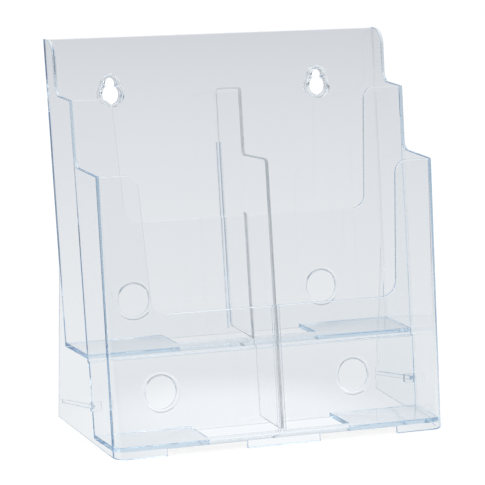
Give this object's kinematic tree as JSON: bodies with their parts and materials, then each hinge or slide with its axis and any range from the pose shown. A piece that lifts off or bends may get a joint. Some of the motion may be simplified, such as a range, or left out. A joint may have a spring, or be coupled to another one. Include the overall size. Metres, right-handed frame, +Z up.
{
  "type": "magazine rack",
  "caption": "Clear two-tier leaflet rack that leans back, with open cut-out fronts, keyholes for a wall and a lift-out centre divider.",
  "frame": {"origin": "middle of the base on the surface that the rack stands on, under the middle of its overall width and depth", "axes": "+Z up, -Y the way the pockets face, +X to the right of someone who faces the rack's front"},
  "size_m": [0.2478, 0.143, 0.263],
  "materials": {
    "clear_body": "crystal-clear polished moulding, pale blue at the edges",
    "clear_divider": "crystal-clear polished plate"
  },
  "bodies": {
    "rack": {"back_panel": "clear_body", "left_side_panel": "clear_body", "right_side_panel": "clear_body", "left_front_corner": "clear_body", "right_front_corner": "clear_body", "upper_front_panel": "clear_body", "lower_front_panel": "clear_body", "lower_back_panel": "clear_body", "upper_shelf": "clear_body", "lower_shelf": "clear_body", "left_foot": "clear_body", "centre_foot": "clear_body", "right_foot": "clear_body", "left_stand_rail": "clear_body", "right_stand_rail": "clear_body", "left_keyhole_boss": "clear_body", "right_keyhole_boss": "clear_body", "rear_divider_guide": "clear_body", "front_divider_guide": "clear_body"},
    "divider": {"divider": "clear_divider"}
  },
  "joints": [
    {"name": "divider_lift", "type": "slide", "parent": "rack", "child": "divider", "axis": [0, 0.1754, 0.9845], "range_m": [0, 0.262]}
  ]
}
